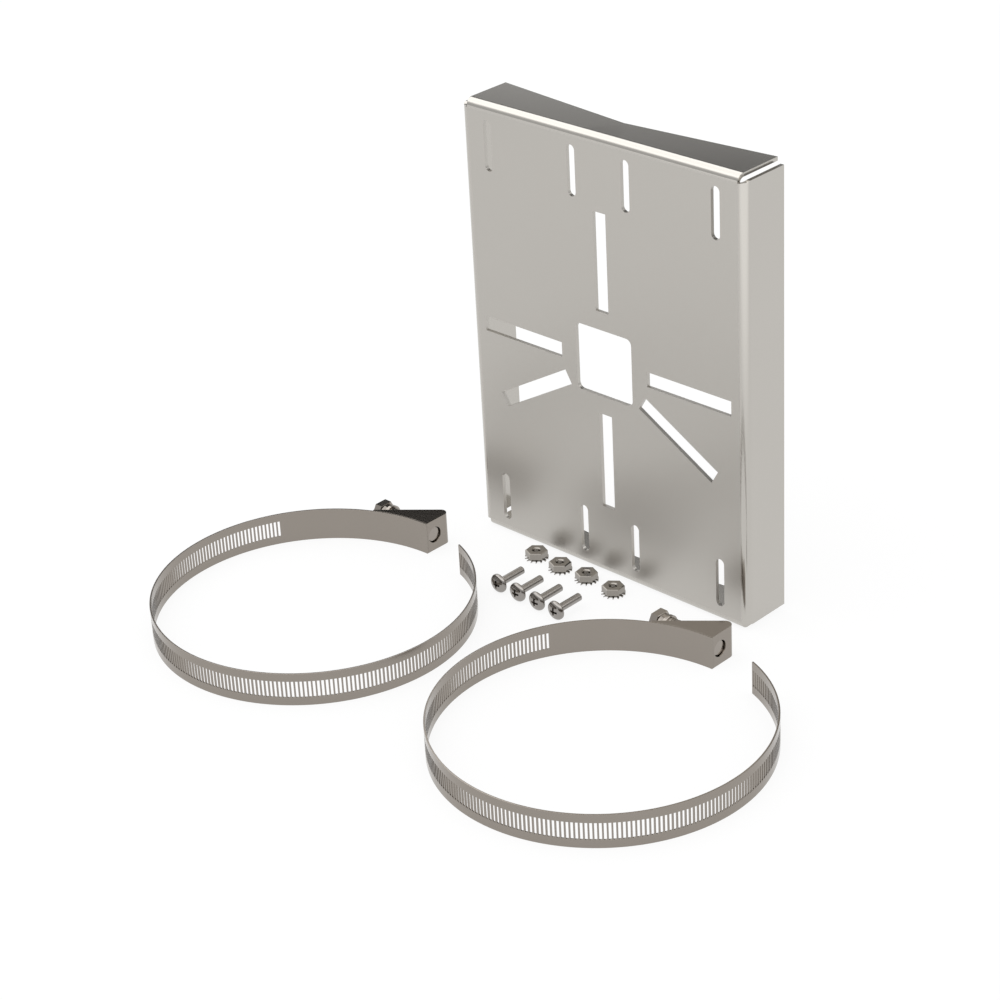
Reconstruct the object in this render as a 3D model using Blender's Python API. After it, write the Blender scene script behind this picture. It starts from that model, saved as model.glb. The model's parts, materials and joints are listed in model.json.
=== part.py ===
# Camera pole mount bracket: a folded plate with its two open band clamps, four machine
# screws and four lock nuts, laid out on the floor as the kit is pictured.
# Units are metres and +Z is up. The origin lies on the floor, under the middle of the flat
# of the plate's bottom flange. The plate's front face looks along -Y.
import math

import bmesh
import bpy
from mathutils import Matrix, Vector

MM = 0.001

# Clearances
SEAT_GAP = 0.3 * MM
RUNNING_GAP = 0.3 * MM

# Folded plate
PLATE_WIDTH = 166.0 * MM
PLATE_HEIGHT = 222.0 * MM
SHEET = 1.9 * MM
BEND_INNER = 1.9 * MM
BEND_STEPS = 6
FLANGE_DEPTH = 26.6 * MM
VEE_DEPTH = 8.1 * MM
RELIEF = 0.2 * MM
CORNER_GAP = 1.5 * MM
SIDE_FLANGE_DROP = 2.9 * MM

# Openings in the plate's face
STRAP_SLOT_WIDTH = 4.8 * MM
STRAP_SLOT_LENGTH = 24.7 * MM
STRAP_SLOT_INNER = 15.9 * MM
STRAP_SLOT_OUTER = 66.9 * MM
STRAP_SLOT_MARGIN = 20.3 * MM
RADIAL_SLOT_WIDTH = 7.5 * MM
RADIAL_SLOT_START = 25.9 * MM
RADIAL_SLOT_END = 74.5 * MM
RADIAL_SLOT_ANGLES = (0, 90, 180, 210, 270, 330)
CABLE_HOLE_SIDE = 33.6 * MM
CABLE_HOLE_RADIUS = 3.0 * MM
CUT_ARC_STEPS = 8

# Band clamps
BAND_RADIUS = 75.7 * MM
BAND_SHEET = 0.75 * MM
BAND_WIDTH = 16.2 * MM
BAND_SLOT_LENGTH = 8.2 * MM
BAND_SLOT_WIDTH = 1.15 * MM
BAND_SLOT_PITCH = 1.93 * MM
BAND_SLOTS_FROM = 58.6
BAND_ARC = 339.6
BAND_PLAIN_STEP = 3.5
CELLS_PER_RIM_EDGE = 3

# Clamp housing, in the clamp's own frame: the ring's centre is the origin, the end wall
# stands beyond the ring's +Y side and the housing tapers away towards -X
HOUSING_WALL = 0.9 * MM
HOUSING_END = -1.2 * MM
HOUSING_REACH = 31.5 * MM
HOUSING_HEIGHT = 15.3 * MM
HOUSING_CORNER = 3.0 * MM
HOUSING_ARC_STEPS = 8
HOUSING_CORNER_STEPS = 6

# Worm screw
WORM_RADIUS = 4.7 * MM
WORM_LENGTH = 28.8 * MM
WORM_CHAMFER = 0.6 * MM
PILOT_RADIUS = 3.75 * MM
PILOT_LENGTH = 2.5 * MM
SHOULDER_RADIUS = 5.6 * MM
SHOULDER_LENGTH = 1.8 * MM
NECK_RADIUS = 4.4 * MM
NECK_ROOT_RADIUS = 5.2 * MM
NECK_LENGTH = 2.3 * MM
WORM_HEAD_FLATS = 11.3 * MM
WORM_HEAD_LENGTH = 4.3 * MM
HEX_CHAMFER = 0.5 * MM
TURNED_SEGMENTS = 18

# Machine screws
SCREW_RADIUS = 1.95 * MM
SCREW_LENGTH = 15.9 * MM
SCREW_TIP_CHAMFER = 0.5 * MM
HEAD_RADIUS = 4.7 * MM
HEAD_RIM = 0.4 * MM
HEAD_HEIGHT = 2.6 * MM
HEAD_DOME_STEPS = 4
RECESS_SPAN = 5.4 * MM
RECESS_WIDTH = 1.2 * MM
RECESS_DEPTH = 1.5 * MM
SCREW_SEGMENTS = 18

# Lock nuts with their captive star washers
NUT_FLATS = 9.5 * MM
NUT_THICKNESS = 3.2 * MM
NUT_BEVEL_HEIGHT = 0.3 * MM
NUT_BEVEL_WIDTH = 0.5 * MM
NUT_BORE = 1.7 * MM
NUT_BORE_CHAMFER = 0.6 * MM
COLLAR_WALL = 1.0 * MM
COLLAR_FOOT = 0.2 * MM
WASHER_RADIUS = 5.8 * MM
WASHER_ROOT = 4.7 * MM
WASHER_SHEET = 0.55 * MM
WASHER_TWIST = 0.3 * MM
WASHER_TEETH = 14
TOOTH_RISES_BY = 0.14
TOOTH_FALLS_FROM = 0.42
TOOTH_ENDS_AT = 0.56

# Where the loose pieces lie. A clamp has the x of its ring's inner edge and its gap to the
# plate's face, a screw the x of its axis and its tip's gap, and a nut its x and its
# washer's gap. The nuts are all turned alike, and so are the washers
CLAMP_LAYOUT = ((-6.6 * MM, 23.95 * MM), (15.7 * MM, 18.45 * MM))
SCREW_LAYOUT = ((-31.1 * MM, 28.3 * MM), (-18.4 * MM, 28.75 * MM),
                (-5.8 * MM, 29.1 * MM), (6.8 * MM, 29.8 * MM))
NUT_LAYOUT = ((-39.1 * MM, 4.1 * MM), (-22.5 * MM, 5.45 * MM),
              (-6.2 * MM, 4.85 * MM), (12.1 * MM, 6.45 * MM))
NUT_TURN = 37.5
WASHER_TURN = 20.8

# Sizes that follow from the ones above
BEND_OUTER = BEND_INNER + SHEET
PLATE_FRONT = -(BEND_OUTER + FLANGE_DEPTH - VEE_DEPTH) / 2
PLATE_MIDDLE = PLATE_HEIGHT / 2
STRAP_SLOT_RISE = PLATE_MIDDLE - STRAP_SLOT_MARGIN
HOUSING_FOOT = BAND_RADIUS + SEAT_GAP
WORM_AXIS_Y = BAND_RADIUS + WORM_RADIUS + RUNNING_GAP
WORM_AXIS_Z = BAND_WIDTH / 2
WORM_TIP = HOUSING_END - 0.3 * MM
BAND_STARTS_AT = 90 + math.degrees(math.asin(-HOUSING_END / BAND_RADIUS))
COLLAR_RADIUS = NUT_BORE + COLLAR_WALL
WASHER_TOP = WASHER_SHEET + 2 * WASHER_TWIST
NUT_SEAT = WASHER_TOP + SEAT_GAP

MATERIALS = {
    "plate_steel": ((0.56, 0.55, 0.53), 0.36),
    "band_steel": ((0.50, 0.48, 0.46), 0.32),
    "housing_steel": ((0.46, 0.44, 0.42), 0.34),
    "worm_steel": ((0.58, 0.57, 0.55), 0.24),
    "screw_steel": ((0.60, 0.59, 0.57), 0.22),
    "nut_steel": ((0.60, 0.59, 0.57), 0.24),
    "washer_steel": ((0.50, 0.49, 0.47), 0.30),
}


def clear_scene():
    for obj in list(bpy.data.objects):
        bpy.data.objects.remove(obj, do_unlink=True)


def make_material(name):
    colour, roughness = MATERIALS[name]
    material = bpy.data.materials.new(name)
    material.use_nodes = True
    shader = material.node_tree.nodes["Principled BSDF"]
    shader.inputs["Base Color"].default_value = (*colour, 1.0)
    shader.inputs["Metallic"].default_value = 1.0
    shader.inputs["Roughness"].default_value = roughness
    return material


def add_object(name, mesh):
    obj = bpy.data.objects.new(name, mesh)
    bpy.context.scene.collection.objects.link(obj)
    return obj


def finish_mesh(bm, name, material=None, smooth_angle=35):
    bmesh.ops.recalc_face_normals(bm, faces=bm.faces)
    mesh = bpy.data.meshes.new(name)
    bm.to_mesh(mesh)
    bm.free()
    if material is not None:
        mesh.materials.append(material)
    mesh.shade_smooth()
    mesh.set_sharp_from_angle(angle=math.radians(smooth_angle))
    return mesh


def baked_mesh(obj, name, smooth_angle=35):
    """The object's mesh with its modifiers applied, in its own frame."""
    depsgraph = bpy.context.evaluated_depsgraph_get()
    mesh = bpy.data.meshes.new_from_object(obj.evaluated_get(depsgraph))
    mesh.name = name
    mesh.shade_smooth()
    mesh.set_sharp_from_angle(angle=math.radians(smooth_angle))
    return mesh


def cut_away(mesh, cutter_bm, name, smooth_angle=35):
    """The mesh less the cutter's prisms."""
    body = add_object(name + "_blank", mesh)
    cutter = add_object(name + "_cutter", finish_mesh(cutter_bm, name + "_cutter"))
    cutter.hide_render = True
    cutter.display_type = "WIRE"
    boolean = body.modifiers.new("cut", "BOOLEAN")
    boolean.operation = "DIFFERENCE"
    boolean.solver = "EXACT"
    boolean.object = cutter
    result = baked_mesh(body, name, smooth_angle)
    bpy.data.objects.remove(cutter, do_unlink=True)
    bpy.data.objects.remove(body, do_unlink=True)
    return result


def arc(centre, radius, start, end, steps):
    """Points on a circle from one angle to another, in degrees."""
    points = []
    for step in range(steps + 1):
        angle = math.radians(start + (end - start) * step / steps)
        points.append((centre[0] + radius * math.cos(angle), centre[1] + radius * math.sin(angle)))
    return points


def obround(width, length, steps):
    """An upright slot with round ends, about its centre."""
    radius = width / 2
    rise = length / 2 - radius
    return arc((0, rise), radius, 0, 180, steps) + arc((0, -rise), radius, 180, 360, steps)


def rounded_square(side, radius, steps):
    reach = side / 2 - radius
    corners = ((reach, reach, 0), (-reach, reach, 90), (-reach, -reach, 180), (reach, -reach, 270))
    points = []
    for x, z, start in corners:
        points += arc((x, z), radius, start, start + 90, steps)
    return points


def radial_bar(width, start, end, angle):
    """A square-ended slot that runs outward from the centre at an angle."""
    turn = Matrix.Rotation(math.radians(angle), 2)
    corners = ((start, -width / 2), (end, -width / 2), (end, width / 2), (start, width / 2))
    return [tuple(turn @ Vector(corner)) for corner in corners]


def add_prism(bm, outline, low, high, place):
    """A closed prism. place turns an outline point and a height into a position."""
    bottom = [bm.verts.new(place(a, b, low)) for a, b in outline]
    top = [bm.verts.new(place(a, b, high)) for a, b in outline]
    bm.faces.new(bottom)
    bm.faces.new(top[::-1])
    count = len(outline)
    for index in range(count):
        after = (index + 1) % count
        bm.faces.new((bottom[index], top[index], top[after], bottom[after]))


def turned_mesh(stations, segments, name, material, ring=False):
    """A body turned about its own Z axis.

    Each station is (height, radius, across flats or None): the section there is a circle,
    or a hexagon whose corners the circle trims. A ring's stations close on themselves;
    otherwise the first and last stations are points on the axis.
    """
    bm = bmesh.new()
    loops = []
    for height, radius, flats in stations:
        if radius == 0:
            loops.append([bm.verts.new((0, 0, height))])
            continue
        loop = []
        for segment in range(segments):
            angle = 2 * math.pi * segment / segments
            reach = radius
            if flats is not None:
                off_flat = (angle % (math.pi / 3)) - math.pi / 6
                reach = min(radius, flats / 2 / math.cos(off_flat))
            loop.append(bm.verts.new((reach * math.cos(angle), reach * math.sin(angle), height)))
        loops.append(loop)
    pairs = list(zip(loops, loops[1:]))
    if ring:
        pairs.append((loops[-1], loops[0]))
    for lower, upper in pairs:
        for segment in range(segments):
            after = (segment + 1) % segments
            corners = [lower[segment % len(lower)], lower[after % len(lower)],
                       upper[after % len(upper)], upper[segment % len(upper)]]
            bm.faces.new(list(dict.fromkeys(corners)))
    return finish_mesh(bm, name, material)


# Folded plate

def plate_side(bm, outward, along, reach, bend_half, flange_half, vee):
    """One bend and its flange, as a single surface that joins the front panel.

    outward and along are directions in the front plane, reach is the distance from the
    panel's middle to the flange's outer face. The bend widens from its own half width to the
    flange's. Returns the bend's first two vertices.
    """
    middle = Vector((0, PLATE_FRONT, PLATE_MIDDLE))
    inward = Vector((0, 1, 0))

    def point(side, out, depth):
        return bm.verts.new(middle + along * side + outward * out + inward * depth)

    rows = []
    for step in range(BEND_STEPS + 1):
        share = step / BEND_STEPS
        angle = math.pi / 2 * share
        half = bend_half + (flange_half - bend_half) * share
        out = reach - BEND_OUTER + BEND_OUTER * math.sin(angle)
        depth = BEND_OUTER - BEND_OUTER * math.cos(angle)
        rows.append((point(-half, out, depth), point(half, out, depth)))
    for before, after in zip(rows, rows[1:]):
        bm.faces.new((before[0], before[1], after[1], after[0]))
    outline = [rows[-1][0], rows[-1][1], point(flange_half, reach, FLANGE_DEPTH)]
    if vee:
        outline.append(point(0, reach, FLANGE_DEPTH - VEE_DEPTH))
    outline.append(point(-flange_half, reach, FLANGE_DEPTH))
    bm.faces.new(outline)
    return rows[0]


def plate_blank():
    """The folded sheet before its openings are cut."""
    bm = bmesh.new()
    half_width = PLATE_WIDTH / 2
    half_height = PLATE_HEIGHT / 2
    across = Vector((1, 0, 0))
    up = Vector((0, 0, 1))
    bend_across = half_width - BEND_OUTER - RELIEF
    bend_up = half_height - BEND_OUTER - RELIEF
    flange_across = half_width - SHEET - CORNER_GAP
    flange_up = half_height - SIDE_FLANGE_DROP
    sides = ((up, -across, half_height, bend_across, flange_across, True),
             (-across, -up, half_width, bend_up, flange_up, False),
             (-up, across, half_height, bend_across, flange_across, True),
             (across, up, half_width, bend_up, flange_up, False))
    panel = []
    for outward, along, reach, bend_half, flange_half, vee in sides:
        first, last = plate_side(bm, outward, along, reach, bend_half, flange_half, vee)
        other = bend_up if along.z == 0 else bend_across
        notch = Vector((0, PLATE_FRONT, PLATE_MIDDLE)) + along * bend_half + outward * other
        panel += [first, last, bm.verts.new(notch)]
    bm.faces.new(panel)
    bmesh.ops.recalc_face_normals(bm, faces=bm.faces)
    front = max(bm.faces, key=lambda face: face.calc_area())
    if front.normal.y > 0:
        bmesh.ops.reverse_faces(bm, faces=bm.faces)
    mesh = bpy.data.meshes.new("plate_surface")
    bm.to_mesh(mesh)
    bm.free()
    sheet = add_object("plate_surface", mesh)
    thicken = sheet.modifiers.new("sheet", "SOLIDIFY")
    thicken.thickness = SHEET
    thicken.offset = -1
    thicken.use_even_offset = True
    solid = baked_mesh(sheet, "plate_blank")
    bpy.data.objects.remove(sheet, do_unlink=True)
    return solid


def build_plate(material):
    cutter = bmesh.new()

    def cut_outline(outline, x, rise):
        def place(a, b, depth):
            return (x + a, PLATE_FRONT + depth, PLATE_MIDDLE + rise + b)
        add_prism(cutter, outline, -SHEET, 2 * SHEET, place)

    strap_slot = obround(STRAP_SLOT_WIDTH, STRAP_SLOT_LENGTH, CUT_ARC_STEPS)
    for rise in (-STRAP_SLOT_RISE, STRAP_SLOT_RISE):
        for x in (-STRAP_SLOT_OUTER, -STRAP_SLOT_INNER, STRAP_SLOT_INNER, STRAP_SLOT_OUTER):
            cut_outline(strap_slot, x, rise)
    for angle in RADIAL_SLOT_ANGLES:
        cut_outline(radial_bar(RADIAL_SLOT_WIDTH, RADIAL_SLOT_START, RADIAL_SLOT_END, angle), 0, 0)
    cut_outline(rounded_square(CABLE_HOLE_SIDE, CABLE_HOLE_RADIUS, CUT_ARC_STEPS // 2), 0, 0)
    mesh = cut_away(plate_blank(), cutter, "bracket_plate")
    mesh.materials.clear()
    mesh.materials.append(material)
    add_object("bracket_plate", mesh)


# Band clamps

def band_mesh(material):
    """The slotted strap, rolled into an open ring about the clamp's own Z axis.

    Columns run round the ring. In the slotted stretch they alternate between the start and
    the end of a slot; the rim has a corner only every few slots, which saves faces.
    """
    bm = bmesh.new()
    outer = BAND_RADIUS
    inner = BAND_RADIUS - BAND_SHEET
    margin = (BAND_WIDTH - BAND_SLOT_LENGTH) / 2
    heights = (0, margin, BAND_WIDTH - margin, BAND_WIDTH)
    start = BAND_STARTS_AT
    pitch = math.degrees(BAND_SLOT_PITCH / BAND_RADIUS)
    opening = math.degrees(BAND_SLOT_WIDTH / BAND_RADIUS)
    slots = int((BAND_ARC - BAND_SLOTS_FROM) / pitch)
    slots -= slots % CELLS_PER_RIM_EDGE
    slotted_from = start + BAND_ARC - slots * pitch

    def column(angle):
        turn = math.radians(angle)
        made = []
        for radius in (outer, inner):
            x = radius * math.cos(turn)
            y = radius * math.sin(turn)
            made.append([(x, y, height) for height in heights])
        return made

    def corners(places, rows):
        return [[bm.verts.new(side[row]) for row in rows] for side in places]

    plain_steps = max(1, round((slotted_from - start) / BAND_PLAIN_STEP))
    plain = []
    for step in range(plain_steps):
        angle = start + (slotted_from - start) * step / plain_steps
        plain.append(corners(column(angle), (0, 3)))
    columns = []
    for slot in range(slots + 1):
        columns.append(corners(column(slotted_from + slot * pitch), (1, 2)))
        if slot < slots:
            columns.append(corners(column(slotted_from + slot * pitch + opening), (1, 2)))
    cell = 2 * CELLS_PER_RIM_EDGE
    rims = {}
    for index in range(0, len(columns), cell):
        rims[index] = corners(column(slotted_from + index / 2 * pitch), (0, 3))

    # Plain stretch, as outside and inside faces and the two edges
    bm.faces.new((plain[0][0][0], plain[0][1][0], plain[0][1][1], plain[0][0][1]))
    for before, after in zip(plain, plain[1:]):
        for side in (0, 1):
            bm.faces.new((before[side][0], after[side][0], after[side][1], before[side][1]))
        for edge in (0, 1):
            bm.faces.new((before[0][edge], after[0][edge], after[1][edge], before[1][edge]))
    last, joint, meeting = plain[-1], rims[0], columns[0]
    for side in (0, 1):
        bm.faces.new((last[side][0], joint[side][0], meeting[side][0], meeting[side][1],
                      joint[side][1], last[side][1]))
    for edge in (0, 1):
        bm.faces.new((last[0][edge], joint[0][edge], joint[1][edge], last[1][edge]))

    # Slotted stretch: margins and edges from rim corner to rim corner
    for index in range(0, len(columns) - 1, cell):
        here, there = rims[index], rims[index + cell]
        span = columns[index:index + cell + 1]
        for edge in (0, 1):
            for side in (0, 1):
                middle = [made[side][edge] for made in reversed(span)]
                bm.faces.new([here[side][edge], there[side][edge]] + middle)
            bm.faces.new((here[0][edge], there[0][edge], there[1][edge], here[1][edge]))

    # Slots: each has four walls, and a bar follows it
    for index in range(0, len(columns) - 1, 2):
        opened, closed, following = columns[index:index + 3]
        for wall in (opened, closed):
            bm.faces.new((wall[0][0], wall[1][0], wall[1][1], wall[0][1]))
        for edge in (0, 1):
            bm.faces.new((opened[0][edge], closed[0][edge], closed[1][edge], opened[1][edge]))
        for side in (0, 1):
            bm.faces.new((closed[side][0], following[side][0], following[side][1], closed[side][1]))

    # Square free end
    rim, end = rims[len(columns) - 1], columns[-1]
    bm.faces.new((rim[0][0], end[0][0], end[0][1], rim[0][1],
                  rim[1][1], end[1][1], end[1][0], rim[1][0]))
    return finish_mesh(bm, "band", material, smooth_angle=30)


def housing_mesh(material):
    """A pressed cover over the worm: two wedge cheeks, a sloping back and an end wall."""
    wall = HOUSING_WALL
    tail_angle = 90 + math.degrees(math.asin(HOUSING_REACH / HOUSING_FOOT))
    end_angle = 90 + math.degrees(math.asin(-HOUSING_END / HOUSING_FOOT))
    foot = arc((0, 0), HOUSING_FOOT, end_angle, tail_angle, HOUSING_ARC_STEPS)
    tail = Vector(arc((0, 0), HOUSING_FOOT + wall, tail_angle, tail_angle, 1)[0])
    centre = Vector((HOUSING_END - HOUSING_CORNER, BAND_RADIUS + HOUSING_HEIGHT - HOUSING_CORNER))
    run = centre - tail
    slope = math.atan2(run.y, run.x) + math.asin(HOUSING_CORNER / run.length)
    crest = 90 + math.degrees(slope)
    corner = arc(centre, HOUSING_CORNER, crest, 0, HOUSING_CORNER_STEPS)
    outline = foot + [tuple(tail)] + corner

    def upright(a, b, height):
        return (a, b, height)

    def lengthwise(a, b, height):
        return (height, WORM_AXIS_Y + a, WORM_AXIS_Z + b)

    bm = bmesh.new()
    add_prism(bm, outline, 0, BAND_WIDTH, upright)
    blank = finish_mesh(bm, "housing_blank", material)

    # The cavity keeps one wall's thickness inside the back, the corner and the end wall
    inside = arc(centre, HOUSING_CORNER - wall, 0, crest, HOUSING_CORNER_STEPS)
    back = Vector(inside[-1])
    floor = HOUSING_FOOT - HOUSING_REACH
    drop = (back.y - floor) / math.sin(slope)
    low = (back.x - drop * math.cos(slope), floor)
    cavity = [(HOUSING_END - wall, floor)] + inside + [low]
    bm = bmesh.new()
    add_prism(bm, cavity, wall, BAND_WIDTH - wall, upright)
    hollow = cut_away(blank, bm, "housing_hollow")

    # The worm leaves through the sloping back and its pilot turns in the end wall
    bm = bmesh.new()
    opening = arc((0, 0), WORM_RADIUS + RUNNING_GAP, 0, 360, TURNED_SEGMENTS)[:-1]
    add_prism(bm, opening, -HOUSING_REACH, HOUSING_END - HOUSING_CORNER, lengthwise)
    bore = arc((0, 0), PILOT_RADIUS + RUNNING_GAP, 0, 360, TURNED_SEGMENTS)[:-1]
    add_prism(bm, bore, HOUSING_END - 2 * wall, HOUSING_END + wall, lengthwise)
    return cut_away(hollow, bm, "housing")


def worm_mesh(material):
    """The hex-headed worm screw, turned about Z with its pilot's tip at the origin."""
    shoulder_end = WORM_LENGTH + SHOULDER_LENGTH
    neck_end = shoulder_end + NECK_LENGTH
    head_end = neck_end + WORM_HEAD_LENGTH
    corner = WORM_HEAD_FLATS / math.sqrt(3)
    flats = WORM_HEAD_FLATS
    stations = (
        (0, 0, None),
        (0, PILOT_RADIUS - WORM_CHAMFER, None),
        (WORM_CHAMFER, PILOT_RADIUS, None),
        (PILOT_LENGTH, PILOT_RADIUS, None),
        (PILOT_LENGTH, WORM_RADIUS - WORM_CHAMFER, None),
        (PILOT_LENGTH + WORM_CHAMFER, WORM_RADIUS, None),
        (WORM_LENGTH, WORM_RADIUS, None),
        (WORM_LENGTH, SHOULDER_RADIUS, None),
        (shoulder_end, SHOULDER_RADIUS, None),
        (shoulder_end, NECK_RADIUS, None),
        (neck_end, NECK_ROOT_RADIUS, None),
        (neck_end, corner, flats),
        (head_end - HEX_CHAMFER / 2, corner, flats),
        (head_end, corner - HEX_CHAMFER, flats),
        (head_end, 0, None),
    )
    return turned_mesh(stations, TURNED_SEGMENTS, "worm_screw", material)


def build_clamps(band_material, housing_material, worm_material):
    band = band_mesh(band_material)
    housing = housing_mesh(housing_material)
    worm = worm_mesh(worm_material)
    for number, (edge, gap) in enumerate(CLAMP_LAYOUT, start=1):
        x = edge + math.copysign(BAND_RADIUS, edge)
        y = PLATE_FRONT - gap - HOUSING_HEIGHT - BAND_RADIUS
        prefix = "clamp_%d_" % number
        add_object(prefix + "band", band).location = (x, y, 0)
        add_object(prefix + "housing", housing).location = (x, y, 0)
        screw = add_object(prefix + "worm_screw", worm)
        tip = Matrix.Translation((x + WORM_TIP, y + WORM_AXIS_Y, WORM_AXIS_Z))
        lie = Matrix.Rotation(-math.pi / 2, 4, "Y")
        flat_up = Matrix.Rotation(math.pi / 6, 4, "Z")
        screw.matrix_world = tip @ lie @ flat_up


# Loose fasteners

def screw_mesh(material):
    """A pan-head screw along +Z, its head's seat at the origin and its dome below it."""
    stations = [(SCREW_LENGTH, 0, None),
                (SCREW_LENGTH, SCREW_RADIUS - SCREW_TIP_CHAMFER, None),
                (SCREW_LENGTH - SCREW_TIP_CHAMFER, SCREW_RADIUS, None),
                (0, SCREW_RADIUS, None),
                (0, HEAD_RADIUS, None)]
    dome = HEAD_HEIGHT - HEAD_RIM
    for step in range(HEAD_DOME_STEPS):
        angle = math.pi / 2 * step / HEAD_DOME_STEPS
        stations.append((-HEAD_RIM - dome * math.sin(angle), HEAD_RADIUS * math.cos(angle), None))
    stations.append((-HEAD_HEIGHT, 0, None))
    blank = turned_mesh(stations, SCREW_SEGMENTS, "screw_blank", material)

    def upright(a, b, height):
        return (a, b, height)

    # The cross recess is one plus-shaped prism
    arm = RECESS_SPAN / 2
    half = RECESS_WIDTH / 2
    quarter = [(arm, half), (half, half), (half, arm)]
    cross = []
    for turn in range(4):
        spin = Matrix.Rotation(math.pi / 2 * turn, 2)
        cross += [tuple(spin @ Vector(corner)) for corner in quarter]
    bm = bmesh.new()
    add_prism(bm, cross, -HEAD_HEIGHT - RECESS_DEPTH, -HEAD_HEIGHT + RECESS_DEPTH, upright)
    return cut_away(blank, bm, "machine_screw")


def build_screws(material):
    """Each screw lies on its head's rim with its axis level."""
    mesh = screw_mesh(material)
    lie = Matrix.Rotation(-math.pi / 2, 4, "X")
    for number, (x, gap) in enumerate(SCREW_LAYOUT, start=1):
        screw = add_object("machine_screw_%d" % number, mesh)
        seat = (x, PLATE_FRONT - gap - SCREW_LENGTH, HEAD_RADIUS)
        screw.matrix_world = Matrix.Translation(seat) @ lie


def nut_mesh(material):
    """A hex nut about Z with the thin collar below it that keeps the star washer."""
    foot = COLLAR_FOOT
    seat = NUT_SEAT
    top = NUT_SEAT + NUT_THICKNESS
    corner = NUT_FLATS / math.sqrt(3)
    top_flats = NUT_FLATS - 2 * NUT_BEVEL_WIDTH
    mouth = NUT_BORE + NUT_BORE_CHAMFER
    stations = (
        (foot, COLLAR_RADIUS, None),
        (seat, COLLAR_RADIUS, None),
        (seat, corner, NUT_FLATS),
        (top - NUT_BEVEL_HEIGHT, corner, NUT_FLATS),
        (top, top_flats / math.sqrt(3), top_flats),
        (top, mouth, None),
        (top - NUT_BORE_CHAMFER, NUT_BORE, None),
        (foot, NUT_BORE, None),
    )
    return turned_mesh(stations, TURNED_SEGMENTS, "lock_nut", material, ring=True)


def washer_mesh(material):
    """A star washer about Z: a flat ring whose outer teeth are each twisted."""
    bm = bmesh.new()
    bore = COLLAR_RADIUS + RUNNING_GAP
    rim = []
    eye = []
    step = 2 * math.pi / WASHER_TEETH
    tooth = ((0, WASHER_ROOT, 0), (TOOTH_RISES_BY, WASHER_RADIUS, -1),
             (TOOTH_FALLS_FROM, WASHER_RADIUS, 1), (TOOTH_ENDS_AT, WASHER_ROOT, 0))
    for number in range(WASHER_TEETH):
        for share, radius, lift in tooth:
            angle = (number + share) * step
            rim.append((radius * math.cos(angle), radius * math.sin(angle), lift * WASHER_TWIST))
        for share in (0, TOOTH_ENDS_AT):
            angle = (number + share) * step
            eye.append((bore * math.cos(angle), bore * math.sin(angle), 0))

    def lifted(points, level):
        return [bm.verts.new((x, y, z + level)) for x, y, z in points]

    low = WASHER_TWIST
    high = WASHER_TWIST + WASHER_SHEET
    rims = (lifted(rim, low), lifted(rim, high))
    eyes = (lifted(eye, low), lifted(eye, high))
    for loops in (rims, eyes):
        count = len(loops[0])
        for index in range(count):
            after = (index + 1) % count
            bm.faces.new((loops[0][index], loops[0][after], loops[1][after], loops[1][index]))
    for rim_loop, eye_loop in zip(rims, eyes):
        for number in range(WASHER_TEETH):
            root = 4 * number
            following = (root + 4) % len(rim_loop)
            inside = 2 * number
            beyond = (inside + 2) % len(eye_loop)
            bm.faces.new((rim_loop[root], rim_loop[root + 3], eye_loop[inside + 1], eye_loop[inside]))
            bm.faces.new((rim_loop[root], rim_loop[root + 1], rim_loop[root + 2]))
            bm.faces.new((rim_loop[root], rim_loop[root + 2], rim_loop[root + 3]))
            bm.faces.new((rim_loop[root + 3], rim_loop[following], eye_loop[beyond],
                          eye_loop[inside + 1]))
    return finish_mesh(bm, "star_washer", material)


def build_nuts(nut_material, washer_material):
    nut = nut_mesh(nut_material)
    washer = washer_mesh(washer_material)
    for number, (x, gap) in enumerate(NUT_LAYOUT, start=1):
        for name, mesh, turn in (("lock_nut_%d", nut, NUT_TURN),
                                 ("star_washer_%d", washer, WASHER_TURN)):
            obj = add_object(name % number, mesh)
            obj.location = (x, PLATE_FRONT - gap - WASHER_RADIUS, 0)
            obj.rotation_euler = (0, 0, math.radians(turn))


clear_scene()
build_plate(make_material("plate_steel"))
build_clamps(make_material("band_steel"), make_material("housing_steel"), make_material("worm_steel"))
build_screws(make_material("screw_steel"))
build_nuts(make_material("nut_steel"), make_material("washer_steel"))
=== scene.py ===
# Looks of the camera pole mount bracket: the folded plate, two open band clamps, four
# machine screws and four lock nuts with their star washers, on a white studio floor.
import json
import math

import bmesh
import bpy
import numpy as np
from mathutils import Matrix, Vector


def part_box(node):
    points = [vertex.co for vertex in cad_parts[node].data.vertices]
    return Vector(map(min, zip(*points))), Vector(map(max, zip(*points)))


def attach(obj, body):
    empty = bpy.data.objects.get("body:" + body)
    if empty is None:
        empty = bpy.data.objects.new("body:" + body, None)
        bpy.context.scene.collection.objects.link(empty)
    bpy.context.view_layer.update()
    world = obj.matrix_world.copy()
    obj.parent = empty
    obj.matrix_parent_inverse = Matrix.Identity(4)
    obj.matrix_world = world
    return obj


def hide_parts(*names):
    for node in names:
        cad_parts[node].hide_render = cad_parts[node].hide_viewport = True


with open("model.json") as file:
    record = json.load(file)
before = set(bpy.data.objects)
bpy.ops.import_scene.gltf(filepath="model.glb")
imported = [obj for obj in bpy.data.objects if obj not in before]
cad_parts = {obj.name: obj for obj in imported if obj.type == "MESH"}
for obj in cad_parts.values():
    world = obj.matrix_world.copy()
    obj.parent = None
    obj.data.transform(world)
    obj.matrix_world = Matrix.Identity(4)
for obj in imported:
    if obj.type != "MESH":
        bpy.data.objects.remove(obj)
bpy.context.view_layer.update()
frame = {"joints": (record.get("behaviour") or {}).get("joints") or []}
print("stage: frame loaded")

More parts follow.
